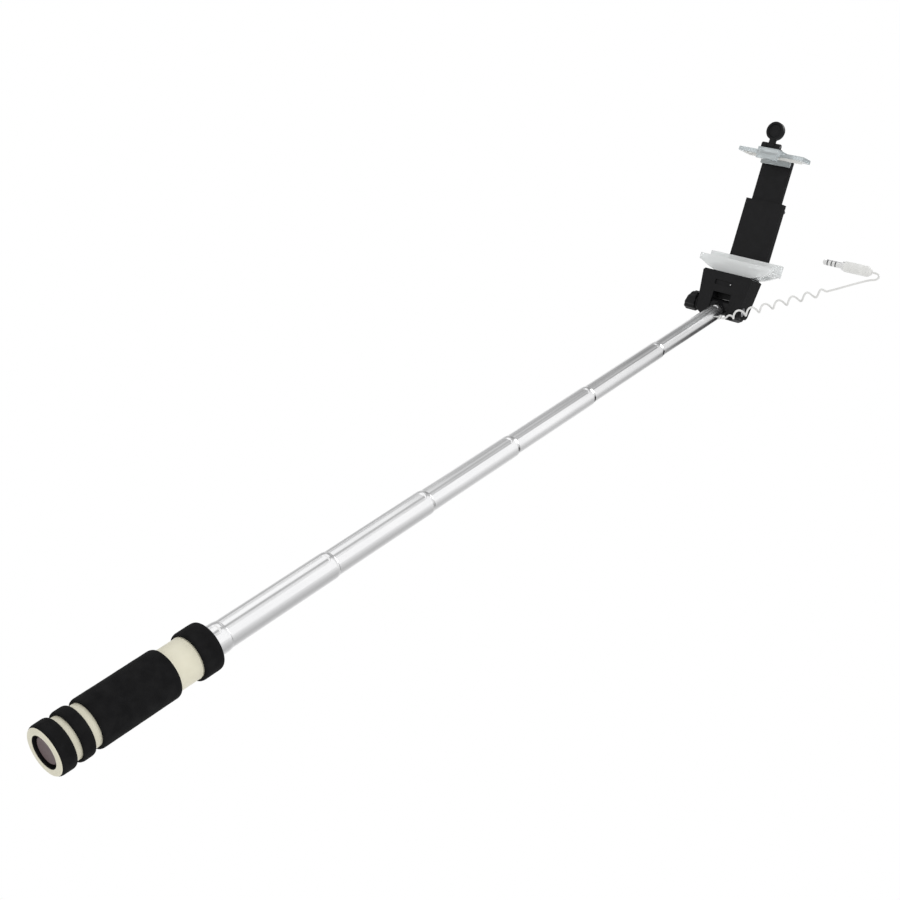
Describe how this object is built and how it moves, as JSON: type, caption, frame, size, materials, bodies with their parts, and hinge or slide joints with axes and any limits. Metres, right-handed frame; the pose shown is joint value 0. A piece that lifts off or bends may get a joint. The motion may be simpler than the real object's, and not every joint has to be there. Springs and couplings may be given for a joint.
{
  "type": "selfie stick",
  "caption": "Hand-held telescopic pole with foam grip, shutter button in the end, tilting spring clamp for a phone, flip lever and coiled jack lead.",
  "frame": {"origin": "on the pole's axis, at the middle of the main foam grip", "axes": "+Z along the pole from the grip to the head, +X along the tilt hinge's axis towards the jack plug, -Y towards the user that the phone's screen faces"},
  "size_m": [0.1156, 0.1128, 0.5711],
  "materials": {
    "foam": "matte closed-cell foam",
    "cream": "satin moulded",
    "chrome": "polished",
    "black_plastic": "fine moulded grain",
    "clear_plastic": "clear polished",
    "nylon": "natural nylon",
    "steel": "zinc plated",
    "button_grey": "satin moulded",
    "board": "solder mask",
    "silicone": "soft pad",
    "lead_white": "smooth jacket",
    "plug_white": "moulded"
  },
  "bodies": {
    "handle": {"handle_core": "cream", "end_ring_foam": "foam", "second_ring_foam": "foam", "grip_foam": "foam", "collar_foam": "foam", "button_spring": "steel", "switch_carrier": "black_plastic", "circuit_board": "board", "tact_switch": "black_plastic", "lower_ferrule": "cream", "upper_ferrule": "cream", "tube_0": "chrome", "lead_0": "lead_white"},
    "button": {"shutter_button": "button_grey"},
    "section_1": {"tube_1": "chrome", "bush_1": "nylon", "lead_1": "lead_white"},
    "section_2": {"tube_2": "chrome", "bush_2": "nylon", "lead_2": "lead_white"},
    "section_3": {"tube_3": "chrome", "bush_3": "nylon", "lead_3": "lead_white"},
    "section_4": {"tube_4": "chrome", "bush_4": "nylon", "lead_4": "lead_white"},
    "section_5": {"tube_5": "chrome", "bush_5": "nylon", "lead_5": "lead_white"},
    "section_6": {"tube_6": "chrome", "bush_6": "nylon", "lead_6": "lead_white", "hinge_knuckle": "black_plastic", "lead_grommet": "lead_white"},
    "head": {"front_shell": "black_plastic", "rear_shell": "black_plastic", "slide_cover": "black_plastic", "shell_screws": "steel", "cover_screws": "steel", "lower_jaw": "clear_plastic", "lower_pad": "silicone", "hinge_nut": "steel", "knob_washer": "steel", "clamp_springs": "steel", "spring_posts": "steel", "cord_start": "lead_white", "cord_coil": "lead_white", "cord_tail": "lead_white", "plug_body": "plug_white", "jack_plug": "chrome"},
    "knob": {"thumb_knob": "black_plastic", "hinge_screw": "steel"},
    "clamp": {"upper_jaw": "clear_plastic", "upper_pad": "silicone", "jaw_slide": "black_plastic", "slide_screws": "steel", "lever_saddle": "black_plastic", "lever_pin": "steel"},
    "lever": {"flip_lever": "black_plastic"}
  },
  "joints": [
    {"name": "button_press", "type": "slide", "parent": "handle", "child": "button", "axis": [0, 0, 1], "range_m": [0, 0.0008], "stiffness_N_per_m": 1500, "springref_m": -0.0006, "deforming": ["button_spring"]},
    {"name": "section_1_slide", "type": "slide", "parent": "handle", "child": "section_1", "axis": [0, 0, 1], "range_m": [-0.065, 0], "deforming": ["lead_0"]},
    {"name": "section_2_slide", "type": "slide", "parent": "section_1", "child": "section_2", "axis": [0, 0, 1], "range_m": [-0.065, 0], "deforming": ["lead_1"]},
    {"name": "section_3_slide", "type": "slide", "parent": "section_2", "child": "section_3", "axis": [0, 0, 1], "range_m": [-0.065, 0], "deforming": ["lead_2"]},
    {"name": "section_4_slide", "type": "slide", "parent": "section_3", "child": "section_4", "axis": [0, 0, 1], "range_m": [-0.065, 0], "deforming": ["lead_3"]},
    {"name": "section_5_slide", "type": "slide", "parent": "section_4", "child": "section_5", "axis": [0, 0, 1], "range_m": [-0.065, 0], "deforming": ["lead_4"]},
    {"name": "section_6_slide", "type": "slide", "parent": "section_5", "child": "section_6", "axis": [0, 0, 1], "range_m": [-0.058, 0], "deforming": ["lead_5"]},
    {"name": "head_tilt", "type": "hinge", "parent": "section_6", "child": "head", "pos_m": [0, 0, 0.464], "axis": [1, 0, 0], "range_deg": [-150, 30], "deforming": ["cord_start", "cord_coil", "cord_tail"]},
    {"name": "knob_turn", "type": "hinge", "parent": "head", "child": "knob", "pos_m": [-0.02, 0, 0.464], "axis": [1, 0, 0], "continuous": true},
    {"name": "jaw_slide_out", "type": "slide", "parent": "head", "child": "clamp", "axis": [0, -0.866, 0.5], "range_m": [-0.012, 0.018], "stiffness_N_per_m": 300, "deforming": ["clamp_springs"]},
    {"name": "lever_fold", "type": "hinge", "parent": "clamp", "child": "lever", "pos_m": [0, -0.08733, 0.51673], "axis": [1, 0, 0], "range_deg": [0, 90]}
  ]
}
